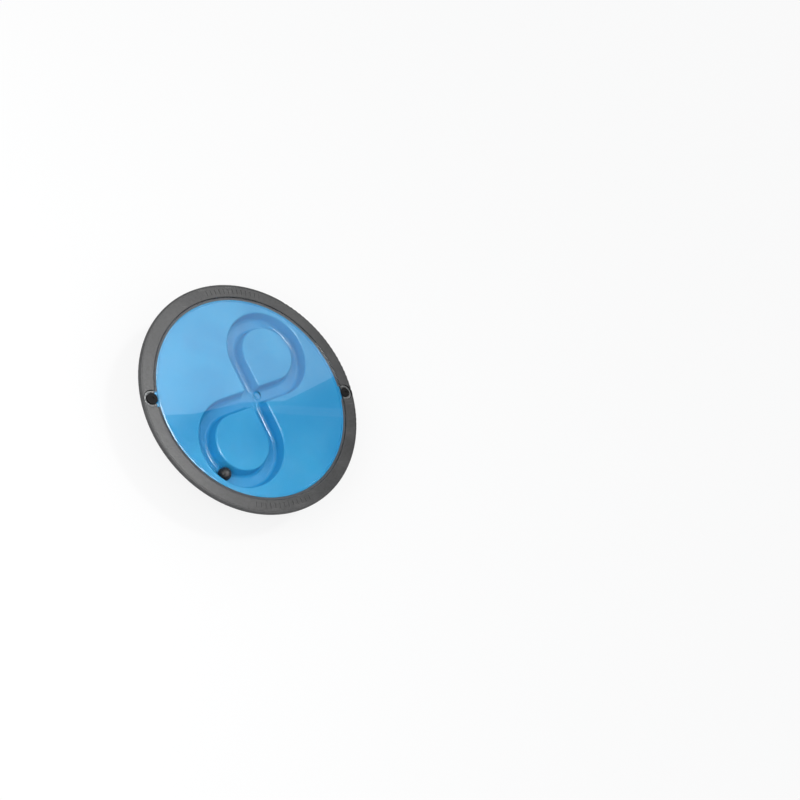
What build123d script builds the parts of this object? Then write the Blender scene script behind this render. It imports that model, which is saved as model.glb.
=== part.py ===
from build123d import *
from math import cos, radians, sin, sqrt
import os

# Balance board with a ball track: a round board on a rocker dome, with a figure-eight
# groove under a clear cover and one loose ball in it. Millimetres, +Z up. The origin is
# on the floor under the middle of the foot, and +X runs through the two cover screws.

# ---- Foot and rocker dome ----
foot_flat_radius = 22.0        # flat spot that the board rests level on
foot_radius = 32.0             # rubber grip pad let into the dome
foot_thickness = 6.0
foot_clearance = 0.1
tread_edge = 4.5               # from the flat's edge to the outer tread groove
tread_pitch = 5.5
tread_count = 2
tread_width = 1.6
tread_depth = 1.0
dome_radius = 95.0             # sphere that the board rocks on
dome_height = 44.0             # floor to the top of the dome's flange
dome_wall = 4.5
dome_flange_width = 16.0
dome_flange_thickness = 5.0
dome_flange_round = 1.5
dome_rib_count = 6
dome_rib_thickness = 3.5
dome_hub_radius = 10.0
dome_screw_edge = 7.7          # from a screw's middle to the flange's edge
dome_screw_count = 6
dome_screw_start = 30.0        # degrees from +X

# ---- Ball ----
ball_radius = 10.6
ball_float = 0.15              # under the ball
ball_headroom = 1.65           # between the ball and the cover
ball_side_room = 6.6           # groove's width over the ball's diameter
ball_angle = 50.0              # degrees from +X, round its end of the eight

# ---- Rim ring ----
board_radius = 200.0
rim_width = 23.0
rim_nose = 3.0                 # rounding of the outer top edge
rim_lip = 5.0                  # upright part of the outer edge, with its rounding
rim_lip_round = 1.4
rim_height = 13.0
rim_skirt = 2.4                # wall outside the flange at the bottom
rim_skirt_round = 0.8
rim_inner_round = 0.8
rim_line_inset = 4.2           # fine groove inside the outer edge
rim_line_width = 1.0
rim_line_depth = 0.5
grip_slot_count = 13           # short slots at the front and the back of the rim
grip_slot_pitch = 2.6          # degrees
grip_slot_width = 2.4
grip_slot_length = 9.0
grip_slot_depth = 0.6

# ---- Clear cover and its gasket ----
cover_thickness = 3.0
cover_chamfer = 0.8
cover_gap = 0.5                # to the rim all round
cover_drop = 1.0               # cover's top below the rim's top
ear_radius = 13.5
ear_edge = 3.3                 # rim left outside an ear
ear_gap = 0.5
ear_neck = 3.0                 # rounding between ear and disc
ear_counterbore = 1.2
ear_chamfer = 1.0              # at the counterbore's mouth
gate_radius = 8.0              # moulded dimple in the middle of the underside
gate_depth = 0.8
gate_nub_radius = 2.6
gate_nub_height = 0.5
gasket_end = 12.5              # from the line of the cover screws to a gasket's end
gasket_clearance = 0.3         # to the bead

# ---- Track plate ----
track_wall = 2.5
track_plate_step = 0.6         # cover's edge to the plate's edge
track_draft = 8.0              # degrees that the groove's sides lean out
track_corner = 6.0             # rounding between its sides and floor
track_lip = 2.4                # rounding of its top edges
track_margin = 7.0             # from the groove to the bead at the eight's ends
track_direction = 60.0         # degrees from +X to the first end of the eight
crossing_radius = 4.0          # rounding of the four corners at the crossing
bead_inset = 4.9               # from the plate's edge to the raised ring's middle
bead_width = 2.6
bead_height = 1.5
bead_round = 0.5
post_radius = 5.5              # posts that carry the track plate
island_post_shift = 24.0       # from the middle of an end of the eight, outwards
side_post_inset = 48.5         # from the bowl's side
side_post_angle = 25.0         # each side of the line square to the eight
post_boss_height = 7.0

# ---- Base shell, the moulded bowl that carries everything ----
seat_height = 6.0              # thick ring that the dome is screwed to
base_web = 3.5                 # floor of the bowl
base_wall = 3.5                # side of the bowl
base_seat_width = 7.4          # plate's edge to the inside of the bowl
base_corner = 4.0              # inside corner between floor and side
standoff_height = 3.0          # ribs that carry the track's underside
standoff_width = 3.0
standoff_hub_radius = 10.0
flange_thickness = 3.0
stiffener_count = 12
stiffener_start = 15.0         # degrees from +X
stiffener_thickness = 3.0
stiffener_gap = 9.0            # from a stiffener's end to the side of the bowl
stiffener_slope = 8.0
insert_boss_radius = 5.3
insert_boss_floor = 1.5
flange_edge = 0.1              # flange outside an insert boss

# ---- Screws, inserts and fits ----
cover_head_radius = 8.65
cover_head_height = 1.9
cover_head_round = 0.5
cover_socket_width = 6.0       # hexagon, across flats
cover_socket_depth = 1.1
cover_screw_radius = 2.5
cover_screw_tip = 1.0          # screw's end short of the insert's end
insert_radius = 3.5
insert_length = 8.0
insert_flange_radius = 4.4
insert_flange_height = 0.8
dome_head_radius = 4.2
dome_head_height = 2.6
dome_screw_radius = 2.0
dome_insert_radius = 2.9
dome_insert_length = 7.0
track_head_radius = 3.8
track_head_height = 2.4
track_screw_radius = 1.6
track_screw_bite = 5.0         # length inside the track plate's boss
rim_head_radius = 4.0
rim_head_height = 2.4
rim_screw_radius = 1.75
rim_screw_bite = 5.0           # length inside the rim ring
rim_screw_count = 8
drive_width = 2.4              # square drive in the small screws
drive_depth = 1.3
head_round = 0.6
hole_end = 0.5                 # blind hole past a screw's or insert's end
thread_clearance = 0.02        # screw or insert to the wall that holds it
hole_clearance = 0.3           # screw to a plain hole
head_clearance = 0.3           # screw head to its counterbore
seat_clearance = 0.1           # rim ring to the flange's edge

# ---- Radii, from the outside in ----
rim_inner_radius = board_radius - rim_width
cover_radius = rim_inner_radius - cover_gap
track_plate_radius = cover_radius - track_plate_step
bead_radius = track_plate_radius - bead_inset
bead_inner_radius = bead_radius - bead_width / 2
bead_outer_radius = bead_radius + bead_width / 2
base_inner_radius = track_plate_radius - base_seat_width
base_outer_radius = base_inner_radius + base_wall
ear_circle = board_radius - ear_edge - ear_radius
flange_radius = ear_circle + insert_boss_radius + flange_edge
rim_screw_circle = (rim_inner_radius + flange_radius) / 2

# ---- Levels, from the floor up ----
sphere_centre = sqrt(dome_radius**2 - foot_flat_radius**2)
track_depth = 2 * ball_radius + ball_float + ball_headroom - bead_height
dome_flange_bottom = dome_height - dome_flange_thickness
web_bottom = dome_height + seat_height
web_top = web_bottom + base_web
track_bottom = web_top + standoff_height
track_floor = track_bottom + track_wall
land = track_floor + track_depth
ledge = land - track_wall
cover_bottom = land + bead_height
cover_top = cover_bottom + cover_thickness
rim_top = cover_top + cover_drop
rim_bottom = rim_top - rim_height
flange_bottom = ledge - flange_thickness
cover_head_seat = cover_top - ear_counterbore


# ---- Helpers ----
def turned(points, radii):
    """Solid of revolution from a closed outline of (radius, height) points."""
    wire = FilletPolyline(*[(reach, 0, height) for reach, height in points], radius=radii, close=True)
    return revolve(make_face(wire), Axis.Z)


def rod(radius, low, high, spot=(0, 0)):
    return Pos(spot[0], spot[1], low) * extrude(Circle(radius), high - low)


def tube(outer, inner, low, high, spot=(0, 0)):
    return rod(outer, low, high, spot) - rod(inner, low, high, spot)


def place(radius, angle):
    return (radius * cos(radians(angle)), radius * sin(radians(angle)))


def circle_places(radius, count, start):
    return [place(radius, start + index * 360 / count) for index in range(count)]


def on_sphere(radius, height):
    """Distance from the board's axis to a sphere round the dome's centre, at a height."""
    return sqrt(radius**2 - (sphere_centre - height)**2)


def under_sphere(radius, reach):
    """Height of a sphere round the dome's centre, at a distance from the axis."""
    return sphere_centre - sqrt(radius**2 - reach**2)


def sphere_arc(radius, inner, outer):
    """Arc of a sphere's underside between two distances from the axis."""
    spots = [(reach, 0, under_sphere(radius, reach)) for reach in (inner, (inner + outer) / 2, outer)]
    return ThreePointArc(*spots)


def small_screw(head_radius, head_height, shank_radius, head_bottom, tip, spot):
    """Screw put in from below: a pan head with a square drive, and a plain shank."""
    seat = head_bottom + head_height
    head = rod(head_radius, head_bottom, seat, spot)
    head = fillet(head.edges().sort_by(Axis.Z)[:1], head_round)
    drive = Pos(spot[0], spot[1], head_bottom) * extrude(Rectangle(drive_width, drive_width), drive_depth)
    return head + rod(shank_radius, seat, tip, spot) - drive


# ---- Places that several pieces share ----
track_half_width = ball_radius + ball_side_room / 2
lobe_radius = (bead_inner_radius - track_margin - track_half_width) / (1 + sqrt(2))
lobe_distance = lobe_radius * sqrt(2)
lobe_centres = circle_places(lobe_distance, 2, track_direction)
island_posts = circle_places(lobe_distance + island_post_shift, 2, track_direction)
side_posts = [
    spot
    for lean in (-side_post_angle, side_post_angle)
    for spot in circle_places(base_inner_radius - side_post_inset, 2, track_direction - 90 + lean)
]
track_posts = island_posts + side_posts
post_top = ledge - post_boss_height
dome_flange_radius = on_sphere(dome_radius, dome_flange_bottom) + dome_flange_width
dome_screw_circle = dome_flange_radius - dome_screw_edge
dome_screw_places = circle_places(dome_screw_circle, dome_screw_count, dome_screw_start)
rim_screw_places = circle_places(rim_screw_circle, rim_screw_count, 180 / rim_screw_count)
ear_places = {"left": (-ear_circle, 0), "right": (ear_circle, 0)}


# ---- Rocker dome and its grip pad ----
def make_rocker_dome():
    pocket = foot_radius + foot_clearance
    floor_top = foot_thickness + dome_wall
    inner_sphere = dome_radius - dome_wall
    outer_reach = on_sphere(dome_radius, dome_flange_bottom)
    inner_reach = on_sphere(inner_sphere, dome_height)
    floor_reach = on_sphere(inner_sphere, floor_top)
    edge_low = dome_flange_bottom + dome_flange_round
    edge_reach = dome_flange_radius - dome_flange_round
    outline = sphere_arc(dome_radius, pocket, outer_reach)
    outline += sphere_arc(inner_sphere, floor_reach, inner_reach)
    outline += Polyline((outer_reach, 0, dome_flange_bottom), (edge_reach, 0, dome_flange_bottom),
                        (dome_flange_radius, 0, edge_low), (dome_flange_radius, 0, dome_height),
                        (inner_reach, 0, dome_height))
    outline += Polyline((floor_reach, 0, floor_top), (0, 0, floor_top), (0, 0, foot_thickness),
                        (pocket, 0, foot_thickness), (pocket, 0, under_sphere(dome_radius, pocket)))
    dome = revolve(make_face(outline), Axis.Z)
    rib_sphere = dome_radius - dome_wall / 2
    rib_reach = on_sphere(rib_sphere, dome_height)
    cavity_outline = sphere_arc(rib_sphere, 0, rib_reach)
    cavity_outline += Polyline((rib_reach, 0, dome_height), (0, 0, dome_height),
                               (0, 0, under_sphere(rib_sphere, 0)))
    cavity = revolve(make_face(cavity_outline), Axis.Z) - rod(dome_radius, 0, foot_thickness + dome_wall / 2)
    ribs = rod(dome_hub_radius, 0, dome_height)
    for index in range(dome_rib_count):
        blade = Pos(dome_radius / 2, 0, dome_height / 2) * Box(dome_radius, dome_rib_thickness, dome_height)
        ribs += Rot(0, 0, index * 360 / dome_rib_count) * blade
    dome += ribs & cavity
    for spot in dome_screw_places:
        dome -= rod(dome_screw_radius + hole_clearance, 0, dome_height + 1, spot)
    return dome


def make_grip_pad():
    edge = under_sphere(dome_radius, foot_radius)
    outline = sphere_arc(dome_radius, foot_flat_radius, foot_radius)
    outline += Polyline((foot_radius, 0, edge), (foot_radius, 0, foot_thickness), (0, 0, foot_thickness),
                        (0, 0, 0), (foot_flat_radius, 0, 0))
    pad = revolve(make_face(outline), Axis.Z)
    for index in range(tread_count):
        tread = foot_flat_radius - tread_edge - index * tread_pitch
        pad -= tube(tread + tread_width / 2, tread - tread_width / 2, 0, tread_depth)
    return pad


# ---- Base shell ----
def make_base_shell():
    corner = base_corner + base_wall
    seat_inner = on_sphere(dome_radius - dome_wall, dome_height)
    base = turned(
        [(0, web_top), (base_inner_radius, web_top), (base_inner_radius, ledge), (flange_radius, ledge),
         (flange_radius, flange_bottom), (base_outer_radius, flange_bottom), (base_outer_radius, web_bottom),
         (dome_flange_radius, web_bottom), (dome_flange_radius, dome_height), (seat_inner, dome_height),
         (seat_inner, web_bottom), (0, web_bottom)],
        [0, base_corner, 0, 0, 0, 0, corner, 0, 0, 0, 0, 0])
    for spot in lobe_centres:
        inner = lobe_radius - standoff_width / 2
        base += tube(lobe_radius + standoff_width / 2, inner, web_top, track_bottom, spot)
    base += tube(standoff_hub_radius, standoff_hub_radius - standoff_width, web_top, track_bottom)
    end = base_outer_radius - stiffener_gap
    root = dome_flange_radius - stiffener_thickness
    blade_outline = Polyline((root, 0, web_bottom), (end, 0, web_bottom),
                             (end - stiffener_slope, 0, dome_height), (root, 0, dome_height),
                             close=True)
    blade = extrude(make_face(blade_outline), stiffener_thickness / 2, both=True)
    for index in range(stiffener_count):
        base += Rot(0, 0, stiffener_start + index * 360 / stiffener_count) * blade
    for spot in track_posts:
        base += rod(post_radius, web_top, post_top, spot)
        base -= rod(track_screw_radius + hole_clearance, web_bottom, post_top, spot)
        base -= rod(track_head_radius + head_clearance, web_bottom, web_bottom + track_head_height, spot)
    boss_bottom = ledge - insert_length - hole_end - insert_boss_floor
    for spot in ear_places.values():
        side = 1 if spot[0] > 0 else -1
        base += rod(insert_boss_radius, boss_bottom, ledge, spot)
        gusset_length = ear_circle - base_outer_radius
        gusset_height = flange_bottom - boss_bottom
        middle = side * (base_outer_radius + gusset_length / 2)
        base += Pos(middle, 0, boss_bottom + gusset_height / 2) * Box(
            gusset_length + base_wall, stiffener_thickness, gusset_height)
        base -= rod(insert_radius + thread_clearance, ledge - insert_length - hole_end, ledge, spot)
        base -= rod(insert_flange_radius + thread_clearance, ledge - insert_flange_height, ledge, spot)
    for spot in rim_screw_places:
        base -= rod(rim_screw_radius + hole_clearance, flange_bottom, ledge, spot)
    insert_hole_top = dome_height + dome_insert_length + hole_end
    for spot in dome_screw_places:
        base -= rod(dome_insert_radius + thread_clearance, dome_height, insert_hole_top, spot)
    return base


# ---- Track plate ----
def track_loop(direction):
    """Middle line of one half of the eight: a closed teardrop with its point at the crossing."""
    centre = Vector(*place(lobe_distance, direction))
    start, tip, end = [centre + Vector(*place(lobe_radius, direction + turn)) for turn in (-135, 0, 135)]
    outline = Line((0, 0), start) + ThreePointArc(start, tip, end) + Line(end, (0, 0))
    return make_face(outline)


def nearest_corners(face, count):
    return face.vertices().sort_by_distance((0, 0, 0))[:count]


def groove(half_width, depth, corner):
    """Solid that fills the figure-eight groove, with leaning sides and a rounded floor."""
    loops = [track_loop(track_direction), track_loop(track_direction + 180)]
    outer = offset(loops[0], half_width) + offset(loops[1], half_width)
    outer = fillet(nearest_corners(outer, 2), crossing_radius)
    body = extrude(outer, -depth, taper=track_draft)
    for loop in loops:
        island = offset(loop, -half_width, kind=Kind.INTERSECTION)
        island = fillet(nearest_corners(island, 1), crossing_radius)
        body -= extrude(island, -depth, taper=-track_draft)
    floor = body.faces().sort_by(Axis.Z)[0]
    return Pos(0, 0, land) * fillet(floor.edges(), corner)


def make_track_plate():
    plate = rod(track_plate_radius, ledge, land)
    plate += groove(track_half_width + track_wall, track_depth + track_wall, track_corner + track_wall)
    plate -= groove(track_half_width, track_depth, track_corner)
    top_edges = plate.edges().filter_by_position(Axis.Z, land, land)
    groove_edges = [edge for edge in top_edges if edge.bounding_box().size.X < board_radius]
    plate = fillet(groove_edges, track_lip)
    bead = tube(bead_outer_radius, bead_inner_radius, land, cover_bottom)
    plate += fillet(bead.edges().group_by(Axis.Z)[-1], bead_round)
    for spot in track_posts:
        plate += rod(post_radius, post_top, ledge, spot)
        hole_top = post_top + track_screw_bite + hole_end
        plate -= rod(track_screw_radius + thread_clearance, post_top, hole_top, spot)
    return plate


# ---- Clear cover, gasket and ball ----
def eared_disc(disc_radius, lobe, neck):
    """Face of the cover's outline: a disc with a round ear at each cover screw."""
    face = Circle(disc_radius)
    for spot in ear_places.values():
        face += Pos(spot[0], spot[1]) * Circle(lobe)
    inner_corners = [corner for corner in face.vertices() if abs(corner.Y) > neck]
    return fillet(inner_corners, neck)


def make_clear_cover():
    outline = eared_disc(cover_radius, ear_radius, ear_neck)
    cover = Pos(0, 0, cover_bottom) * extrude(outline, cover_thickness)
    cover = chamfer(cover.edges().group_by(Axis.Z)[-1], cover_chamfer)
    mouth = cover_head_radius + head_clearance
    for spot in ear_places.values():
        cover -= rod(cover_screw_radius + hole_clearance, cover_bottom, cover_top, spot)
        cover -= rod(mouth, cover_head_seat, cover_top, spot)
        cone = Cone(mouth, mouth + ear_chamfer, ear_chamfer)
        cover -= Pos(spot[0], spot[1], cover_top - ear_chamfer / 2) * cone
    dimple_top = cover_bottom + gate_depth
    cover -= rod(gate_radius, cover_bottom, dimple_top)
    return cover + rod(gate_nub_radius, dimple_top - gate_nub_height, dimple_top)


def make_cover_gasket():
    ring = tube(track_plate_radius, bead_outer_radius + gasket_clearance, land, cover_bottom)
    gap = Box(3 * board_radius, 2 * gasket_end, 3 * board_radius)
    return ring - gap


def make_ball():
    x, y = lobe_centres[0]
    dx, dy = place(lobe_radius, ball_angle)
    return Pos(x + dx, y + dy, track_floor + ball_float + ball_radius) * Sphere(ball_radius)


# ---- Rim ring ----
def make_rim_ring():
    inner_low = flange_radius + seat_clearance
    rim = turned(
        [(rim_inner_radius, rim_top), (board_radius, rim_top), (board_radius, rim_top - rim_lip),
         (inner_low + rim_skirt, rim_bottom), (inner_low, rim_bottom), (inner_low, ledge),
         (rim_inner_radius, ledge)],
        [rim_inner_round, rim_nose, rim_lip_round, rim_skirt_round, 0, 0, 0])
    line_radius = board_radius - rim_line_inset
    line_depth = rim_top - rim_line_depth
    rim -= tube(line_radius + rim_line_width / 2, line_radius - rim_line_width / 2, line_depth, rim_top)
    recess = eared_disc(rim_inner_radius, ear_radius + ear_gap, ear_neck)
    rim -= Pos(0, 0, cover_bottom) * extrude(recess, rim_top - cover_bottom)
    slot_middle = (rim_inner_radius + board_radius - rim_line_inset) / 2
    slot = extrude(SlotOverall(grip_slot_length, grip_slot_width), grip_slot_depth)
    for side in (90, 270):
        for index in range(grip_slot_count):
            angle = side + (index - (grip_slot_count - 1) / 2) * grip_slot_pitch
            rim -= Rot(0, 0, angle) * Pos(slot_middle, 0, rim_top - grip_slot_depth) * slot
    for spot in ear_places.values():
        rim -= rod(cover_screw_radius + hole_clearance, ledge, cover_bottom, spot)
    for spot in rim_screw_places:
        rim -= rod(rim_screw_radius + thread_clearance, ledge, ledge + rim_screw_bite + hole_end, spot)
    return rim


# ---- Screws and inserts ----
def make_cover_screw(spot):
    head_top = cover_head_seat + cover_head_height
    head = rod(cover_head_radius, cover_head_seat, head_top, spot)
    head = fillet(head.edges().sort_by(Axis.Z)[-1:], cover_head_round)
    socket = extrude(RegularPolygon(cover_socket_width / 2, 6, major_radius=False), cover_socket_depth)
    tip = ledge - insert_length + cover_screw_tip
    shank = rod(cover_screw_radius, tip, cover_head_seat, spot)
    return head + shank - Pos(spot[0], spot[1], head_top - cover_socket_depth) * socket


def make_cover_insert(spot):
    body = rod(insert_radius, ledge - insert_length, ledge, spot)
    body += rod(insert_flange_radius, ledge - insert_flange_height, ledge, spot)
    return body - rod(cover_screw_radius + thread_clearance, ledge - insert_length, ledge, spot)


def make_dome_screws():
    head_bottom = dome_flange_bottom - dome_head_height
    tip = dome_height + dome_insert_length
    return [small_screw(dome_head_radius, dome_head_height, dome_screw_radius, head_bottom, tip, spot)
            for spot in dome_screw_places]


def make_dome_inserts():
    top = dome_height + dome_insert_length
    return [tube(dome_insert_radius, dome_screw_radius + thread_clearance, dome_height, top, spot)
            for spot in dome_screw_places]


def make_track_screws():
    tip = post_top + track_screw_bite
    return [small_screw(track_head_radius, track_head_height, track_screw_radius, web_bottom, tip, spot)
            for spot in track_posts]


def make_rim_screws():
    head_bottom = flange_bottom - rim_head_height
    tip = ledge + rim_screw_bite
    return [small_screw(rim_head_radius, rim_head_height, rim_screw_radius, head_bottom, tip, spot)
            for spot in rim_screw_places]


def write_part(name, shape):
    if isinstance(shape, list):
        shape = Compound(children=shape)
    shape.label = name
    export_step(shape, f"parts/{name}.step")


os.makedirs("parts", exist_ok=True)
write_part("rocker_dome", make_rocker_dome())
write_part("grip_pad", make_grip_pad())
write_part("base_shell", make_base_shell())
write_part("track_plate", make_track_plate())
write_part("rim_ring", make_rim_ring())
write_part("clear_cover", make_clear_cover())
write_part("cover_gasket", make_cover_gasket())
write_part("ball", make_ball())
for side, ear_place in ear_places.items():
    write_part(f"cover_screw_{side}", make_cover_screw(ear_place))
    write_part(f"cover_insert_{side}", make_cover_insert(ear_place))
write_part("dome_screws", make_dome_screws())
write_part("dome_inserts", make_dome_inserts())
write_part("track_screws", make_track_screws())
write_part("rim_screws", make_rim_screws())
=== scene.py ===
# Balance board: a clear-covered ball track in a dark rim, on a rocker dome.
# The CAD frame gives every place and size; this script gives the finish, the light and the view.
import math

import bpy
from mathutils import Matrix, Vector


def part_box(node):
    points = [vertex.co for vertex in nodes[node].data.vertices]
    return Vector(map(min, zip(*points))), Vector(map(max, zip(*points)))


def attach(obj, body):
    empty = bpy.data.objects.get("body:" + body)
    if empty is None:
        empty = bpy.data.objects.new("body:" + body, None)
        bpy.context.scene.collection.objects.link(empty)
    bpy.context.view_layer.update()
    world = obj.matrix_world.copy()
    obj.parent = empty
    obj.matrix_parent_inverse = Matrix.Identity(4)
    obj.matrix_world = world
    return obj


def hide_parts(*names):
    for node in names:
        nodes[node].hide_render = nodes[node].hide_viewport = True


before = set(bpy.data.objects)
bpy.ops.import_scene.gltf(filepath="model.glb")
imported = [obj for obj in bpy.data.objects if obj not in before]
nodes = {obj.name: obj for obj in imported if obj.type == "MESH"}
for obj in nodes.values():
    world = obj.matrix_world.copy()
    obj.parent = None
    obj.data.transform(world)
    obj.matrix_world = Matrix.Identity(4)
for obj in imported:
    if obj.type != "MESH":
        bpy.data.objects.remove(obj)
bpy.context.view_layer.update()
millimetre = 0.001
boardBody = "board"
ballBody = "ball"
print("frame loaded:", len(nodes), "nodes")


# selecting and finishing
def deselectAll():
    if bpy.context.object and bpy.context.object.mode != "OBJECT":
        bpy.ops.object.mode_set(mode="OBJECT")
    bpy.ops.object.select_all(action="DESELECT")


def makeActive(piece):
    deselectAll()
    piece.select_set(True)
    bpy.context.view_layer.objects.active = piece


def editAll(piece):
    makeActive(piece)
    bpy.ops.object.mode_set(mode="EDIT")
    bpy.ops.mesh.select_all(action="SELECT")


def leaveEdit():
    bpy.ops.object.mode_set(mode="OBJECT")


ringLook = {
    "step": 0.02 * millimetre,  # corners within a step of radius and height are on one ring
    "sameTurn": math.radians(20),  # normals nearer than this in slope are evened together
    "turned": 0.999,  # how nearly a normal has to lie in the plane through the board's middle line
    "flatWeight": 1000.0,  # beside a flat face the ring takes the flat face's normal
}


def ringNormals(mesh, look):  # the CAD's corner normals, evened round each ring, so roundings shine evenly
    rings = {}
    corners = []
    for face in mesh.polygons:
        weight = 1.0 if face.use_smooth else look["flatWeight"]
        for index in face.loop_indices:
            place = mesh.vertices[mesh.loops[index].vertex_index].co
            normal = mesh.corner_normals[index].vector.copy()
            outward = Vector((place.x, place.y, 0)).normalized()
            slope = Vector((normal.dot(outward), normal.z))
            family = None
            if slope.length > look["turned"]:
                ringKey = round(place.xy.length / look["step"]), round(place.z / look["step"])
                ring = rings.setdefault(ringKey, [])
                family = next((each for each in ring if each[0].angle(slope) < look["sameTurn"]), None)
                if family is None:
                    family = [Vector((0, 0))]
                    ring.append(family)
                family[0] += slope * weight
            corners.append((normal, outward, family))
    evened = []
    for normal, outward, family in corners:
        if family:
            slope = family[0].normalized()
            normal = outward * slope.x + Vector((0, 0, slope.y))
        evened.append(normal[:])
    return evened


def copyNode(nodeName, pieceName, mergeReach=0.002 * millimetre):  # a merged copy of a CAD node
    source = nodes[nodeName].data
    piece = bpy.data.objects.new(pieceName, source.copy())
    bpy.context.scene.collection.objects.link(piece)
    editAll(piece)
    bpy.ops.mesh.remove_doubles(threshold=mergeReach)
    leaveEdit()
    piece.data.normals_split_custom_set(ringNormals(source, ringLook))
    return piece


def finishPiece(piece, material, nodeName, body=boardBody):
    piece.data.materials.clear()
    piece.data.materials.append(material)
    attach(piece, body)
    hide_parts(nodeName)


def paintNode(nodeName, material):
    for materialSlot in nodes[nodeName].material_slots:
        materialSlot.material = material


# shader building blocks
def addNode(tree, kind, links=None, **settings):  # links: an input's name or number to a value or an output
    node = tree.nodes.new(kind)
    for key, value in settings.items():
        setattr(node, key, value)
    for key, value in (links or {}).items():
        if isinstance(value, bpy.types.NodeSocket):
            tree.links.new(value, node.inputs[key])
        else:
            node.inputs[key].default_value = value
    return node


def newGroup(name, inputs, outputs):
    group = bpy.data.node_groups.new(name, "ShaderNodeTree")
    for label, value in inputs:
        kind = "NodeSocketColor" if isinstance(value, tuple) else "NodeSocketFloat"
        group.interface.new_socket(name=label, in_out="INPUT", socket_type=kind).default_value = value
    for label in outputs:
        group.interface.new_socket(name=label, in_out="OUTPUT", socket_type="NodeSocketFloat")
    return group, group.nodes.new("NodeGroupInput").outputs, group.nodes.new("NodeGroupOutput").inputs


def useGroup(tree, group, **values):
    node = tree.nodes.new("ShaderNodeGroup")
    node.node_tree = group
    for label, value in values.items():
        node.inputs[label].default_value = value
    return node.outputs


def mathNode(tree, operation, first, second=0.0, clamp=False):
    node = addNode(tree, "ShaderNodeMath", {0: first, 1: second}, operation=operation, use_clamp=clamp)
    return node.outputs[0]


def product(tree, first, second):
    return mathNode(tree, "MULTIPLY", first, second)


def noiseNode(tree, place, scale, detail=3.0, roughness=0.5, distortion=0.0):
    return addNode(tree, "ShaderNodeTexNoise",
                   {"Vector": place, "Scale": scale, "Detail": detail, "Roughness": roughness,
                    "Distortion": distortion}).outputs["Fac"]


def rampNode(tree, value, low, high):  # 0 below low, 1 above high, smooth between
    return addNode(tree, "ShaderNodeMapRange", {"Value": value, "From Min": low, "From Max": high},
                   interpolation_type="SMOOTHSTEP").outputs["Result"]


def objectPlace(tree):
    return addNode(tree, "ShaderNodeTexCoord").outputs["Object"]


def ringDistance(tree, place, radius):  # how far a place is from a ring round the board's middle
    parts = addNode(tree, "ShaderNodeSeparateXYZ", {0: place}).outputs
    flat = addNode(tree, "ShaderNodeCombineXYZ", {0: parts[0], 1: parts[1]}).outputs[0]
    reach = addNode(tree, "ShaderNodeVectorMath", {0: flat}, operation="LENGTH").outputs["Value"]
    return mathNode(tree, "ABSOLUTE", mathNode(tree, "SUBTRACT", reach, radius))


pebbleLook = {"coarseScale": 260.0, "coarseHeight": 0.6, "speck": (0.05, 0.65)}


def buildPebble(look):  # fine pebbles of a spark-eroded mould: Height for bump, Speck for colour
    group, given, out = newGroup("mouldPebble", [("Grains per metre", 900.0), ("Softness", 0.5)],
                                 ["Height", "Speck"])
    place = objectPlace(group)
    cells = addNode(group, "ShaderNodeTexVoronoi",
                    {"Vector": place, "Scale": given["Grains per metre"], "Smoothness": given["Softness"]},
                    feature="SMOOTH_F1").outputs["Distance"]
    coarse = noiseNode(group, place, look["coarseScale"], detail=2.0)
    domes = mathNode(group, "SUBTRACT", 1.0, cells, clamp=True)
    height = mathNode(group, "ADD", domes, product(group, coarse, look["coarseHeight"]))
    group.links.new(height, out["Height"])
    group.links.new(rampNode(group, cells, *look["speck"]), out["Speck"])
    return group


scuffLook = {  # each way: turn, fineness across the scratch, shift of the pattern
    "ways": ((0.35, 480.0, 0.0), (1.25, 360.0, 3.7), (2.4, 560.0, 8.1)), "along": 3.0,
    "lineScale": 2.0, "thin": (0.66, 0.74), "patches": (0.42, 0.72),
    "breakScale": 30.0, "breaks": (0.48, 0.62),
}


def buildScuffs(look):  # soft rubbed patches and fine crossing scratches from handling
    group, given, out = newGroup("handlingScuffs", [("Patch", 9.0), ("Scratch", 1.0)],
                                 ["Patches", "Scratches"])
    place = objectPlace(group)
    patches = noiseNode(group, place, given["Patch"], detail=4.0, roughness=0.62, distortion=0.6)
    group.links.new(rampNode(group, patches, *look["patches"]), out["Patches"])
    total = 0.0
    for turn, across, shift in look["ways"]:
        turned = addNode(group, "ShaderNodeMapping",
                         {"Vector": place, "Location": (shift, shift, 0.0), "Rotation": (0.0, 0.0, turn),
                          "Scale": (look["along"], across, look["along"])})
        line = noiseNode(group, turned.outputs["Vector"], look["lineScale"], detail=2.0)
        total = mathNode(group, "MAXIMUM", total, rampNode(group, line, *look["thin"]))
    broken = rampNode(group, noiseNode(group, place, look["breakScale"], detail=2.0), *look["breaks"])
    group.links.new(product(group, product(group, total, broken), given["Scratch"]), out["Scratches"])
    return group


ringBandLook = {"gaps": (0.3, 0.65)}


def buildRingBand(look):  # a broken ring at a radius round the board's middle, used as a mask
    group, given, out = newGroup("ringBand", [("Radius", 0.2), ("Width", 0.002), ("Break", 60.0)], ["Mask"])
    place = objectPlace(group)
    off = ringDistance(group, place, given["Radius"])
    band = mathNode(group, "SUBTRACT", 1.0, mathNode(group, "DIVIDE", off, given["Width"]), clamp=True)
    patchy = rampNode(group, noiseNode(group, place, given["Break"]), *look["gaps"])
    group.links.new(product(group, band, patchy), out["Mask"])
    return group


dustLook = {
    "upward": (0.2, 0.95), "cloudScale": 14.0, "clouds": (0.4, 0.75), "specksPerMetre": 210.0,
    "rare": (0.86, 0.9), "speckSize": (0.06, 0.14),
}


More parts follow.
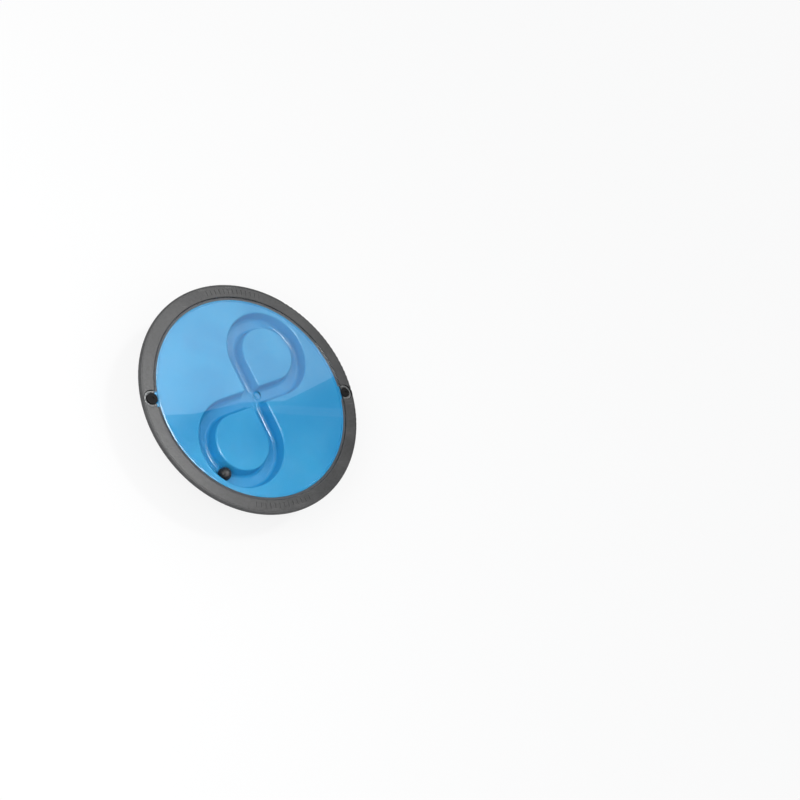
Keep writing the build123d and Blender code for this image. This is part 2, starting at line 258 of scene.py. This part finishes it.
def buildDust(look):  # settled dust on faces that look up, a thin film and small specks
    group, given, out = newGroup("settledDust", [("Film", 0.3), ("Specks", 0.5)], ["Mask"])
    place = objectPlace(group)
    normal = addNode(group, "ShaderNodeNewGeometry").outputs["Normal"]
    up = rampNode(group, addNode(group, "ShaderNodeSeparateXYZ", {0: normal}).outputs["Z"], *look["upward"])
    clouds = noiseNode(group, place, look["cloudScale"], detail=5.0, roughness=0.6)
    film = product(group, rampNode(group, clouds, *look["clouds"]), given["Film"])
    cells = addNode(group, "ShaderNodeTexVoronoi", {"Vector": place, "Scale": look["specksPerMetre"]},
                    feature="F1").outputs
    chance = addNode(group, "ShaderNodeSeparateColor", {0: cells["Color"]}).outputs[0]
    rare = rampNode(group, chance, *look["rare"])
    spot = mathNode(group, "SUBTRACT", 1.0, rampNode(group, cells["Distance"], *look["speckSize"]))
    specks = product(group, product(group, spot, rare), given["Specks"])
    group.links.new(product(group, up, mathNode(group, "MAXIMUM", film, specks)), out["Mask"])
    return group


pebble = buildPebble(pebbleLook)
scuffs = buildScuffs(scuffLook)
ringBand = buildRingBand(ringBandLook)
dust = buildDust(dustLook)
print("shader groups built")


def newMaterial(name):
    material = bpy.data.materials.new(name)
    material.use_nodes = True
    tree = material.node_tree
    return material, tree, tree.nodes["Principled BSDF"]


def blendColour(tree, factor, first, second):
    mix = addNode(tree, "ShaderNodeMix", data_type="RGBA")
    tree.links.new(factor, mix.inputs["Factor"])
    for key, value in ((6, first), (7, second)):
        if isinstance(value, bpy.types.NodeSocket):
            tree.links.new(value, mix.inputs[key])
        else:
            mix.inputs[key].default_value = value
    return mix.outputs[2]


def bumpNode(tree, height, strength, distance):
    node = addNode(tree, "ShaderNodeBump", {"Height": height, "Strength": strength, "Distance": distance})
    return node.outputs[0]


# rim, base and dome: dark moulded plastic, first what the three share
mouldedLook = {
    "softness": 0.6, "mottleRange": (0.35, 0.68), "dust": (0.16, 0.155, 0.145, 1), "dustDulls": 0.3,
    "scratchDepth": 0.6, "bandBreak": 70.0, "bandCore": 0.7,
}


def mouldedPlastic(name, ownLook):  # pebbled, with rubbed patches, scratches and dust
    look = mouldedLook | ownLook
    material, tree, surface = newMaterial(name)
    grain = useGroup(tree, pebble, **{"Grains per metre": look["grainsPerMetre"],
                                      "Softness": look["softness"]})
    marks = useGroup(tree, scuffs, Patch=look["patch"], Scratch=1.0)
    film = useGroup(tree, dust, Film=look["film"], Specks=look["specks"])["Mask"]
    mottle = noiseNode(tree, objectPlace(tree), look["mottleScale"], detail=4.0, roughness=0.7)
    mottle = rampNode(tree, mottle, *look["mottleRange"])
    colour = blendColour(tree, grain["Speck"], look["raised"], look["colour"])
    colour = blendColour(tree, product(tree, mottle, look["mottle"]), colour, look["raised"])
    rubbed = product(tree, marks["Patches"], look["patchShade"])
    colour = blendColour(tree, rubbed, colour, look["rubbed"])
    scratched = product(tree, marks["Scratches"], look["scratchShade"])
    colour = blendColour(tree, scratched, colour, look["scratch"])
    for radius, width, amount in look["bands"]:
        band = useGroup(tree, ringBand, Radius=radius, Width=width, Break=look["bandBreak"])["Mask"]
        colour = blendColour(tree, product(tree, band, amount), colour, look["rubbed"])
    colour = blendColour(tree, film, colour, look["dust"])
    tree.links.new(colour, surface.inputs["Base Color"])
    gloss = mathNode(tree, "SUBTRACT", look["roughness"], product(tree, marks["Patches"], look["polish"]))
    gloss = mathNode(tree, "ADD", gloss, product(tree, film, look["dustDulls"]), clamp=True)
    for radius, width, amount in look["dullBands"]:  # full inside bandCore of the width, none past it
        off = ringDistance(tree, objectPlace(tree), radius)
        band = rampNode(tree, off, width, width * look["bandCore"])
        gloss = mathNode(tree, "ADD", gloss, product(tree, band, amount), clamp=True)
    tree.links.new(gloss, surface.inputs["Roughness"])
    surface.inputs["IOR"].default_value = look["ior"]
    grooves = product(tree, marks["Scratches"], look["scratchDepth"])
    height = mathNode(tree, "SUBTRACT", grain["Height"], grooves)
    tree.links.new(bumpNode(tree, height, look["bump"], look["relief"]), surface.inputs["Normal"])
    return material


# lighter bands and bands of duller gloss: radius and half width in metres, then how strong
rimLook = {
    "colour": (0.0085, 0.0087, 0.0092, 1), "raised": (0.031, 0.032, 0.034, 1),
    "rubbed": (0.050, 0.051, 0.053, 1), "scratch": (0.13, 0.13, 0.13, 1),
    "grainsPerMetre": 520.0, "patch": 11.0, "patchShade": 0.3, "scratchShade": 0.5,
    "film": 0.10, "specks": 0.5, "roughness": 0.33, "polish": 0.04,
    "ior": 1.7, "bump": 0.45, "relief": 0.00016, "mottleScale": 230.0, "mottle": 0.75,
    # the rim's bands make its rounded nose and its inner edge lighter, mixed toward the rubbed colour
    "bands": [(0.1990, 0.0022, 0.55), (0.1774, 0.0012, 0.35)],
    "dullBands": [(0.1990, 0.0024, 0.36), (0.1770, 0.0014, 0.3)],
}
baseLook = {
    "colour": (0.030, 0.031, 0.033, 1), "raised": (0.038, 0.039, 0.041, 1),
    "rubbed": (0.060, 0.061, 0.064, 1), "scratch": (0.11, 0.11, 0.11, 1),
    "grainsPerMetre": 900.0, "patch": 8.0, "patchShade": 0.3, "scratchShade": 0.35,
    "film": 0.15, "specks": 0.3, "roughness": 0.52, "polish": 0.08,
    "ior": 1.5, "bump": 0.25, "relief": 0.0001, "mottleScale": 300.0, "mottle": 0.5,
    "bands": [(0.1884, 0.0010, 0.4)], "dullBands": [],
}
domeLook = {
    "colour": (0.028, 0.029, 0.031, 1), "raised": (0.035, 0.036, 0.038, 1),
    "rubbed": (0.070, 0.071, 0.073, 1), "scratch": (0.14, 0.14, 0.14, 1),
    "grainsPerMetre": 900.0, "patch": 16.0, "patchShade": 0.5, "scratchShade": 0.7,
    "film": 0.1, "specks": 0.2, "roughness": 0.5, "polish": 0.12,
    "ior": 1.5, "bump": 0.22, "relief": 0.0001, "mottleScale": 300.0, "mottle": 0.5,
    "bands": [(0.0345, 0.0030, 0.6), (0.0940, 0.0010, 0.4)], "dullBands": [],
}
rimPlastic = mouldedPlastic("pebbledRimPlastic", rimLook)
basePlastic = mouldedPlastic("pebbledBasePlastic", baseLook)
domePlastic = mouldedPlastic("rubbedDomePlastic", domeLook)

rim = copyNode("rim_ring", "moulded_rim")
finishPiece(rim, rimPlastic, "rim_ring")

base = copyNode("base_shell", "moulded_base")
finishPiece(base, basePlastic, "base_shell")

dome = copyNode("rocker_dome", "moulded_dome")
finishPiece(dome, domePlastic, "rocker_dome")
print("rim, base and dome done")


# track plate: glossy blue moulding
trackLook = {
    "colour": (0.026, 0.331, 0.630, 1), "deep": (0.021, 0.288, 0.580, 1), "dust": (0.45, 0.5, 0.55, 1),
    "flowScale": 7.0, "flowRange": (0.35, 0.65), "peelScale": 55.0, "film": 0.02, "specks": 0.12,
    "patch": 6.0, "patchDulls": 0.05, "dustDulls": 0.4, "scratches": 0.15, "scratchDepth": 0.1,
    "roughness": 0.13, "ior": 1.5, "bump": 0.12, "relief": 0.0004,
}


def glossyBlue(name, look):
    material, tree, surface = newMaterial(name)
    place = objectPlace(tree)
    marks = useGroup(tree, scuffs, Patch=look["patch"], Scratch=look["scratches"])
    film = useGroup(tree, dust, Film=look["film"], Specks=look["specks"])["Mask"]
    flow = noiseNode(tree, place, look["flowScale"], distortion=0.8)
    colour = blendColour(tree, rampNode(tree, flow, *look["flowRange"]), look["deep"], look["colour"])
    tree.links.new(blendColour(tree, film, colour, look["dust"]), surface.inputs["Base Color"])
    gloss = mathNode(tree, "ADD", look["roughness"], product(tree, marks["Patches"], look["patchDulls"]))
    gloss = mathNode(tree, "ADD", gloss, product(tree, film, look["dustDulls"]), clamp=True)
    tree.links.new(gloss, surface.inputs["Roughness"])
    surface.inputs["IOR"].default_value = look["ior"]
    peel = noiseNode(tree, place, look["peelScale"], detail=2.0, roughness=0.45)
    height = mathNode(tree, "SUBTRACT", peel, product(tree, marks["Scratches"], look["scratchDepth"]))
    tree.links.new(bumpNode(tree, height, look["bump"], look["relief"]), surface.inputs["Normal"])
    return material


trackPlastic = glossyBlue("glossyBluePlastic", trackLook)
plate = copyNode("track_plate", "moulded_track")
finishPiece(plate, trackPlastic, "track_plate")
print("track plate done")


# clear cover
coverLook = {
    "tint": (0.985, 0.995, 1.0, 1), "roughness": 0.015, "ior": 1.49, "patch": 5.0, "patchHaze": 0.02,
    "scratches": 0.25, "scratchHaze": 0.08, "scratchBump": 0.05, "relief": 0.00004,
    "gateRadius": 0.0062, "gateWidth": 0.0022, "gateBreak": 12.0, "gateBump": 0.9, "gateRelief": 0.0009,
}


def clearPlastic(name, look):  # lamps and bounced light pass straight through to what is under it
    material, tree, surface = newMaterial(name)
    surface.inputs["Base Color"].default_value = look["tint"]
    surface.inputs["Metallic"].default_value = 0.0
    surface.inputs["IOR"].default_value = look["ior"]
    surface.inputs["Transmission Weight"].default_value = 1.0
    marks = useGroup(tree, scuffs, Patch=look["patch"], Scratch=look["scratches"])
    haze = mathNode(tree, "ADD", look["roughness"], product(tree, marks["Patches"], look["patchHaze"]))
    haze = mathNode(tree, "ADD", haze, product(tree, marks["Scratches"], look["scratchHaze"]))
    tree.links.new(haze, surface.inputs["Roughness"])
    fine = bumpNode(tree, marks["Scratches"], look["scratchBump"], look["relief"])
    gate = useGroup(tree, ringBand, Radius=look["gateRadius"], Width=look["gateWidth"],
                    Break=look["gateBreak"])["Mask"]
    ring = addNode(tree, "ShaderNodeBump", {"Height": gate, "Strength": look["gateBump"],
                                            "Distance": look["gateRelief"], "Normal": fine})
    tree.links.new(ring.outputs[0], surface.inputs["Normal"])
    clear = addNode(tree, "ShaderNodeBsdfTransparent", {"Color": look["tint"]})
    rays = addNode(tree, "ShaderNodeLightPath").outputs
    forLamps = addNode(tree, "ShaderNodeMixShader",
                       {0: rays["Is Shadow Ray"], 1: surface.outputs[0], 2: clear.outputs[0]})
    forBounces = addNode(tree, "ShaderNodeMixShader",
                         {0: rays["Is Diffuse Ray"], 1: forLamps.outputs[0], 2: clear.outputs[0]})
    tree.links.new(forBounces.outputs[0], tree.nodes["Material Output"].inputs["Surface"])
    return material


coverPlastic = clearPlastic("clearCoverPlastic", coverLook)
cover = copyNode("clear_cover", "clear_lid")
finishPiece(cover, coverPlastic, "clear_cover")
print("clear cover done")


# gasket, grip pad and ball: rubber, first what the three share
rubberLook = {"poreRange": (0.35, 0.6), "scratches": 0.8, "scratchDepth": 0.4, "patchDulls": 0.12}


def rubber(name, ownLook):
    look = rubberLook | ownLook
    material, tree, surface = newMaterial(name)
    pores = noiseNode(tree, objectPlace(tree), look["poreScale"], roughness=0.6)
    marks = useGroup(tree, scuffs, Patch=look["patch"], Scratch=look["scratches"])
    film = useGroup(tree, dust, Film=look["film"], Specks=look["specks"])["Mask"]
    colour = blendColour(tree, rampNode(tree, pores, *look["poreRange"]), look["pore"], look["colour"])
    colour = blendColour(tree, product(tree, marks["Patches"], look["patchShade"]), colour, look["rubbed"])
    tree.links.new(blendColour(tree, film, colour, look["dust"]), surface.inputs["Base Color"])
    duller = product(tree, marks["Patches"], look["patchDulls"])
    gloss = mathNode(tree, "ADD", look["roughness"], duller, clamp=True)
    tree.links.new(gloss, surface.inputs["Roughness"])
    surface.inputs["IOR"].default_value = look["ior"]
    height = mathNode(tree, "SUBTRACT", pores, product(tree, marks["Scratches"], look["scratchDepth"]))
    tree.links.new(bumpNode(tree, height, look["bump"], look["relief"]), surface.inputs["Normal"])
    return material


gasketLook = {
    "colour": (0.115, 0.119, 0.127, 1), "pore": (0.085, 0.089, 0.095, 1), "rubbed": (0.14, 0.144, 0.153, 1),
    "dust": (0.10, 0.10, 0.10, 1), "poreScale": 1500.0, "patch": 20.0, "patchShade": 0.3,
    "film": 0.0, "specks": 0.0, "roughness": 0.8, "ior": 1.45, "bump": 0.5, "relief": 0.0002,
}
gripLook = {
    "colour": (0.022, 0.022, 0.023, 1), "pore": (0.014, 0.014, 0.015, 1), "rubbed": (0.060, 0.058, 0.055, 1),
    "dust": (0.15, 0.14, 0.13, 1), "poreScale": 1100.0, "patch": 60.0, "patchShade": 0.6,
    "film": 0.1, "specks": 0.2, "roughness": 0.7, "ior": 1.48, "bump": 0.4, "relief": 0.00015,
}
ballLook = {
    "colour": (0.0105, 0.0080, 0.0070, 1), "pore": (0.007, 0.0060, 0.0055, 1),
    "rubbed": (0.030, 0.021, 0.017, 1), "dust": (0.10, 0.09, 0.08, 1), "poreScale": 1400.0, "patch": 90.0,
    "patchShade": 0.5, "film": 0.05, "specks": 0.1, "roughness": 0.38, "ior": 1.5, "bump": 0.15,
    "relief": 0.00008,
}
paintNode("cover_gasket", rubber("foamGasket", gasketLook))
gripRubber = rubber("scuffedGripRubber", gripLook)
ballRubber = rubber("satinBallRubber", ballLook)

grip = copyNode("grip_pad", "rubber_foot")
finishPiece(grip, gripRubber, "grip_pad")

ballShape = {
    "segments": 64, "rings": 32, "seamWidth": 0.35 * millimetre, "seamSink": 0.12 * millimetre,
    "onMiddle": 0.01 * millimetre,  # how near its middle height a vertex counts as on it
}


def makeBall(shape):  # with the fine seam of its two half moulds sunk round its middle
    low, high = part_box("ball")
    middle = (low + high) / 2
    radius = (high.z - low.z) / 2
    deselectAll()
    bpy.ops.mesh.primitive_uv_sphere_add(segments=shape["segments"], ring_count=shape["rings"],
                                         radius=radius, location=middle)
    ball = bpy.context.object
    ball.name = "loose_ball"
    bpy.ops.object.transform_apply(location=True, rotation=True, scale=True)
    bpy.ops.object.mode_set(mode="EDIT")
    bpy.ops.mesh.select_all(action="DESELECT")
    bpy.ops.mesh.select_mode(type="EDGE")
    leaveEdit()
    for edge in ball.data.edges:
        ends = [ball.data.vertices[index].co.z - middle.z for index in edge.vertices]
        edge.select = max(abs(end) for end in ends) < shape["onMiddle"]
    bpy.ops.object.mode_set(mode="EDIT")
    bpy.ops.mesh.bevel(offset=shape["seamWidth"], segments=2, affect="EDGES")
    leaveEdit()
    for vertex in ball.data.vertices:
        vertex.select = abs(vertex.co.z - middle.z) < shape["onMiddle"]
    bpy.ops.object.mode_set(mode="EDIT")
    bpy.ops.mesh.select_mode(type="VERT")
    sink = 1 - shape["seamSink"] / radius
    bpy.ops.transform.resize(value=(sink, sink, 1), center_override=middle)
    leaveEdit()
    bpy.ops.object.shade_smooth()
    return ball


ball = makeBall(ballShape)
finishPiece(ball, ballRubber, "ball", ballBody)
print("gasket, foot and ball done")


# screws and inserts: metal, first what the three share
metalLook = {"patch": 120.0, "toneRange": (0.3, 0.7)}


def metal(name, ownLook):
    look = metalLook | ownLook
    material, tree, surface = newMaterial(name)
    marks = useGroup(tree, scuffs, Patch=look["patch"], Scratch=1.0)
    tone = noiseNode(tree, objectPlace(tree), look["grain"], roughness=0.6)
    colour = blendColour(tree, rampNode(tree, tone, *look["toneRange"]), look["dark"], look["colour"])
    worn = product(tree, marks["Scratches"], look["scratchShade"])
    tree.links.new(blendColour(tree, worn, colour, look["scratch"]), surface.inputs["Base Color"])
    surface.inputs["Metallic"].default_value = look["metallic"]
    surface.inputs["Specular IOR Level"].default_value = look["specular"]
    gloss = mathNode(tree, "ADD", look["roughness"], product(tree, tone, look["unevenness"]), clamp=True)
    tree.links.new(gloss, surface.inputs["Roughness"])
    tree.links.new(bumpNode(tree, tone, look["bump"], look["relief"]), surface.inputs["Normal"])
    return material


blackLook = {
    "colour": (0.010, 0.010, 0.0105, 1), "dark": (0.006, 0.006, 0.0065, 1), "scratch": (0.06, 0.06, 0.06, 1),
    "grain": 1600.0, "scratchShade": 0.5, "metallic": 0.0, "roughness": 0.34, "unevenness": 0.2, "bump": 0.15,
    "relief": 0.00005, "specular": 0.1,
}
zincLook = {
    "colour": (0.56, 0.57, 0.58, 1), "dark": (0.42, 0.43, 0.45, 1), "scratch": (0.75, 0.75, 0.76, 1),
    "grain": 900.0, "scratchShade": 0.4, "metallic": 1.0, "roughness": 0.26, "unevenness": 0.22, "bump": 0.12,
    "relief": 0.00004, "specular": 0.5,
}
brassLook = {
    "colour": (0.72, 0.52, 0.24, 1), "dark": (0.58, 0.40, 0.17, 1), "scratch": (0.86, 0.70, 0.42, 1),
    "grain": 1200.0, "scratchShade": 0.4, "metallic": 1.0, "roughness": 0.24, "unevenness": 0.2, "bump": 0.12,
    "relief": 0.00004, "specular": 0.5,
}
blackSteel = metal("blackenedScrewSteel", blackLook)
zincSteel = metal("zincPlatedSteel", zincLook)
turnedBrass = metal("turnedBrass", brassLook)
for nodeName in ("cover_screw_left", "cover_screw_right"):
    paintNode(nodeName, blackSteel)
for nodeName in ("dome_screws", "track_screws", "rim_screws"):
    paintNode(nodeName, zincSteel)
for nodeName in ("cover_insert_left", "cover_insert_right", "dome_inserts"):
    paintNode(nodeName, turnedBrass)
print("screws and inserts done")


# camera
viewLook = {
    "place": (0.779, 0.421, 1.211), "turn": (27.56, -38.18, 160.1), "lens": 39.06, "sensor": 36.0,
    "farClip": 100.0,
}
cameraData = bpy.data.cameras.new("viewCamera")
cameraData.lens = viewLook["lens"]
cameraData.sensor_width = viewLook["sensor"]
cameraData.clip_end = viewLook["farClip"]
camera = bpy.data.objects.new("viewCamera", cameraData)
camera.location = viewLook["place"]
camera.rotation_euler = [math.radians(angle) for angle in viewLook["turn"]]
bpy.context.scene.collection.objects.link(camera)
bpy.context.scene.camera = camera


# floor, world and lights
lightLook = {
    "worldShade": (0.97, 0.985, 1.0, 1), "worldStrength": 0.64,
    "floorShade": (0.9, 0.9, 0.9, 1), "floorRoughness": 0.9, "floorWhite": 0.82, "floorSize": 30.0,
    "softPlace": (1.05, 0.15, 0.95), "softSize": 0.9, "softPower": 9.5,
    "sunTurn": (0.0, 17.0, 212.0), "sunStrength": 0.55, "glintStrength": 1.15, "sunAngle": 7.5,
    "cardHeight": 1.6, "cardMiddle": 1.05, "sheenCard": 0.9, "sheenSlope": 0.35, "streakScale": 3.0,
    "bandCard": 0.2, "shadeCard": 0.05, "shadeLift": 0.02, "farCard": 0.12, "farReach": 2.4, "farWidth": 6.0,
}


def whiteRays(tree):  # 1 for rays from the camera, from gloss and through glass, 0 for rays that light things
    rays = addNode(tree, "ShaderNodeLightPath").outputs
    seen = mathNode(tree, "MAXIMUM", rays["Is Camera Ray"], rays["Is Glossy Ray"])
    return mathNode(tree, "MAXIMUM", seen, rays["Is Transmission Ray"])


def makeWorld(look):
    world = bpy.data.worlds.new("paleStudio")
    world.use_nodes = True
    tree = world.node_tree
    lighting = tree.nodes["Background"]
    lighting.inputs["Color"].default_value = look["worldShade"]
    lighting.inputs["Strength"].default_value = look["worldStrength"]
    white = addNode(tree, "ShaderNodeBackground", {"Color": (1, 1, 1, 1), "Strength": 1.0})
    mix = addNode(tree, "ShaderNodeMixShader",
                  {0: whiteRays(tree), 1: lighting.outputs[0], 2: white.outputs[0]})
    tree.links.new(mix.outputs[0], tree.nodes["World Output"].inputs["Surface"])
    bpy.context.scene.world = world


def makeFloor(look):
    material, tree, surface = newMaterial("paleFloor")
    surface.inputs["Base Color"].default_value = look["floorShade"]
    surface.inputs["Roughness"].default_value = look["floorRoughness"]
    surface.inputs["Specular IOR Level"].default_value = 0.0
    white = addNode(tree, "ShaderNodeEmission", {"Color": (1, 1, 1, 1), "Strength": 1.0})
    share = product(tree, whiteRays(tree), look["floorWhite"])
    mix = addNode(tree, "ShaderNodeMixShader", {0: share, 1: surface.outputs[0], 2: white.outputs[0]})
    tree.links.new(mix.outputs[0], tree.nodes["Material Output"].inputs["Surface"])
    deselectAll()
    bpy.ops.mesh.primitive_plane_add(size=look["floorSize"], location=(0, 0, 0))
    floor = bpy.context.object
    floor.name = "pale_floor"
    floor.data.materials.append(material)


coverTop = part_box("clear_cover")[1].z


def cardPoint(x, y, height):  # the point whose mirror image the camera sees at x, y on the cover, in mm
    eye = Vector(viewLook["place"])
    eye.z = 2 * coverTop - eye.z
    spot = Vector((x * millimetre, y * millimetre, coverTop))
    return eye + (spot - eye) * ((height - eye.z) / (spot.z - eye.z))


def makeCard(name, corners, strength, slope=0.0):  # only gloss sees it; slope makes it stronger towards +X
    mesh = bpy.data.meshes.new(name)
    mesh.from_pydata(corners, [], [tuple(range(len(corners)))])
    card = bpy.data.objects.new(name, mesh)
    bpy.context.scene.collection.objects.link(card)
    material, tree, surface = newMaterial(name)
    place = objectPlace(tree)
    across = addNode(tree, "ShaderNodeSeparateXYZ", {0: place}).outputs["X"]
    change = product(tree, mathNode(tree, "ADD", across, lightLook["cardMiddle"]), slope)
    streaks = noiseNode(tree, place, lightLook["streakScale"], detail=2.0)
    streaks = product(tree, mathNode(tree, "SUBTRACT", streaks, 0.5), slope)
    change = mathNode(tree, "ADD", change, streaks)
    power = product(tree, mathNode(tree, "ADD", change, 1.0), strength)
    glow = addNode(tree, "ShaderNodeEmission", {"Color": (1, 1, 1, 1), "Strength": power})
    tree.links.new(glow.outputs[0], tree.nodes["Material Output"].inputs["Surface"])
    card.data.materials.append(material)
    card.visible_camera = False
    card.visible_diffuse = False
    card.visible_shadow = False


def makeLamp(name, kind, power, place, turn, **settings):
    lampData = bpy.data.lights.new(name, kind)
    lampData.energy = power
    for key, value in settings.items():
        setattr(lampData, key, value)
    lamp = bpy.data.objects.new(name, lampData)
    lamp.location = place
    lamp.rotation_euler = turn
    bpy.context.scene.collection.objects.link(lamp)
    return lamp


makeWorld(lightLook)
makeFloor(lightLook)
softPlace = Vector(lightLook["softPlace"])
softTurn = (softPlace - Vector((0, 0, coverTop))).to_track_quat("Z", "Y").to_euler()
soft = makeLamp("softBox", "AREA", lightLook["softPower"], softPlace, softTurn,
                shape="SQUARE", size=lightLook["softSize"])
soft.visible_glossy = False
sunTurn = [math.radians(angle) for angle in lightLook["sunTurn"]]
sunAngle = math.radians(lightLook["sunAngle"])
makeLamp("highSun", "SUN", lightLook["sunStrength"], (0, 0, 3), sunTurn, angle=sunAngle)
glint = makeLamp("glintSun", "SUN", lightLook["glintStrength"], (0, 0, 3.2), sunTurn, angle=sunAngle)
glint.visible_diffuse = False  # it only sharpens the streaks along the groove's roundings
cardHeight = lightLook["cardHeight"]


def makeMirroredCard(name, outline, lift=0.0, slope=0.0):  # the outline of its reflection on the cover, in mm
    makeCard(name, [cardPoint(x, y, cardHeight + lift) for x, y in outline], lightLook[name], slope)


sheenOutline = [(320, 34), (170, 26), (120, 27), (80, 20), (35, 12), (0, 10), (-50, 12), (-80, 2),
                (-170, -31), (-320, -82), (-320, -420), (320, -420)]
bandOutline = [(0, 20), (-45, 19), (-160, 30), (-320, 45), (-320, 62), (-160, 46), (-55, 36), (0, 26)]
shadeOutline = [(520, -100), (520, 700), (-520, 700), (-520, -140)]
makeMirroredCard("sheenCard", sheenOutline, slope=lightLook["sheenSlope"])
makeMirroredCard("bandCard", bandOutline)
makeMirroredCard("shadeCard", shadeOutline, lift=lightLook["shadeLift"])
toCamera = Vector((viewLook["place"][0], viewLook["place"][1], 0)).normalized()
side = Vector((-toCamera.y, toCamera.x, 0)) * lightLook["farWidth"] / 2
far = toCamera * -lightLook["farReach"]
up = Vector((0, 0, cardHeight))
makeCard("farCard", [far - side, far + side, far + side + up, far - side + up], lightLook["farCard"])
bpy.context.scene.view_settings.view_transform = "Standard"
print("camera and lights done")
